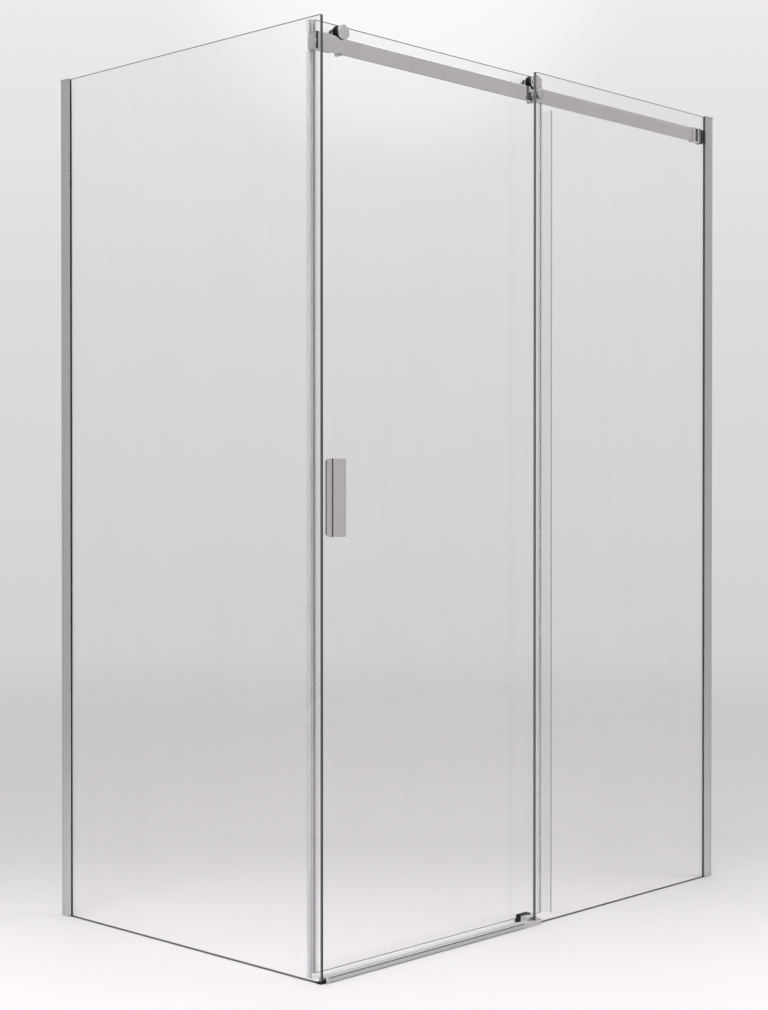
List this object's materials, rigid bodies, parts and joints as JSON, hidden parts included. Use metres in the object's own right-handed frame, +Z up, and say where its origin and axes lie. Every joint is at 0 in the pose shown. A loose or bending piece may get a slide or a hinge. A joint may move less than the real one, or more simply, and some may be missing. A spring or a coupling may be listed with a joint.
{
  "type": "shower enclosure",
  "caption": "Glass shower enclosure with a side panel, a fixed front panel and a sliding door hung on rollers from a flat top rail.",
  "frame": {"origin": "middle of the footprint box on the standing surface: x half way between the side glass and the front wall, y half way between the threshold and the side wall, z = 0 on the tray or floor", "axes": "+Z up, +X along the front from the side panel to the front wall (the way the door opens), +Y from the front into the shower"},
  "size_m": [1.4494, 0.8946, 2.003],
  "materials": {
    "clear_glass": "polished, clear toughened glass",
    "polished_chrome": "polished chrome",
    "bright_aluminium": "bright anodised",
    "satin_aluminium": "satin anodised",
    "stainless_steel": "turned",
    "black_rubber": "matte",
    "black_foam": "matte foam",
    "black_nylon": "fine moulded",
    "clear_seal": "clear extruded plastic",
    "magnet_strip": "matte"
  },
  "bodies": {
    "root": {"side_glass_panel": "clear_glass", "fixed_glass_panel": "clear_glass", "front_wall_channel": "satin_aluminium", "side_wall_channel": "satin_aluminium", "front_glazing_profile": "bright_aluminium", "side_glazing_profile": "bright_aluminium", "profile_caps": "bright_aluminium", "front_glazing_gaskets": "black_rubber", "side_glazing_gaskets": "black_rubber", "profile_clamp_screws": "stainless_steel", "floor_seals": "black_rubber", "corner_foot": "black_rubber", "threshold_foam": "black_foam", "threshold_bar": "bright_aluminium", "threshold_end_cap": "polished_chrome", "door_guide_block": "polished_chrome", "guide_glass_liner": "clear_seal", "guide_shoe": "black_nylon", "guide_shoe_screws": "stainless_steel", "top_rail": "polished_chrome", "corner_rail_bracket": "polished_chrome", "corner_bracket_pad": "clear_seal", "corner_end_pad": "black_rubber", "rail_end_bolts": "stainless_steel", "wall_rail_bracket": "polished_chrome", "wall_bracket_buffer": "black_rubber", "wall_bracket_neck_seal": "black_rubber", "rail_end_collar": "polished_chrome", "rail_fixing_cap": "polished_chrome", "rail_fixing_spacer": "polished_chrome", "glass_fixing_washers": "black_rubber", "rail_fixing_bolt": "stainless_steel", "glass_hole_bush": "black_nylon", "closing_profile": "clear_seal", "closing_magnet": "magnet_strip"},
    "door": {"door_glass": "clear_glass", "door_handle": "polished_chrome", "handle_groove_strip": "black_rubber", "handle_back_plate": "polished_chrome", "handle_gaskets": "clear_seal", "handle_screws": "stainless_steel", "leading_edge_seal": "clear_seal", "leading_magnet": "magnet_strip", "trailing_edge_seal": "clear_seal", "roller_axles": "stainless_steel", "roller_front_caps": "polished_chrome", "roller_collars": "polished_chrome", "roller_rear_caps": "polished_chrome", "anti_lift_hooks": "stainless_steel", "door_glass_washers": "black_rubber", "bearing_inner_races": "stainless_steel"},
    "roller_left": {"roller_wheel_left": "black_nylon", "bearing_outer_left": "stainless_steel", "bearing_cage_left": "stainless_steel"},
    "roller_right": {"roller_wheel_right": "black_nylon", "bearing_outer_right": "stainless_steel", "bearing_cage_right": "stainless_steel"}
  },
  "joints": [
    {"name": "door_slide", "type": "slide", "parent": "root", "child": "door", "axis": [1, 0, 0], "range_m": [0, 0.63]},
    {"name": "roller_left_spin", "type": "hinge", "parent": "door", "child": "roller_left", "pos_m": [-0.63965, -0.41635, 1.981], "axis": [0, 1, 0], "continuous": true},
    {"name": "roller_right_spin", "type": "hinge", "parent": "door", "child": "roller_right", "pos_m": [-0.00065, -0.41635, 1.981], "axis": [0, 1, 0], "continuous": true}
  ],
  "couplings": [
    {"joint": "roller_left_spin", "follows": "door_slide", "rad_per_m": 83.682},
    {"joint": "roller_right_spin", "follows": "door_slide", "rad_per_m": 83.682}
  ]
}
